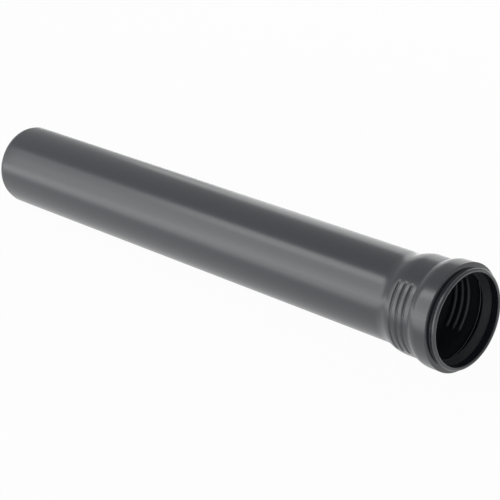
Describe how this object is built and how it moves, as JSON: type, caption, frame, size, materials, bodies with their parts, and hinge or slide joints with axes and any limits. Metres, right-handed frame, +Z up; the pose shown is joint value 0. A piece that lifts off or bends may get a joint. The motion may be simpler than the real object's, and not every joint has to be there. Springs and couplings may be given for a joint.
{
  "type": "soil pipe",
  "caption": "Straight dark plastic soil pipe with a chamfered spigot at one end and a formed ring-seal socket, with a rubber lip seal in it, at the other.",
  "frame": {"origin": "centre of the spigot's end face, on the pipe's axis", "axes": "+X along the pipe's axis from the spigot towards the socket's mouth, +Z up as the pipe lies"},
  "size_m": [0.8, 0.1306, 0.1305],
  "materials": {
    "pipe_plastic": "smooth, slightly glossy anthracite, mineral-filled polypropylene",
    "seal_rubber": "smooth black rubber with a dull sheen"
  },
  "bodies": {
    "root": {"pipe": "pipe_plastic", "seal_ring": "seal_rubber"}
  },
  "joints": []
}
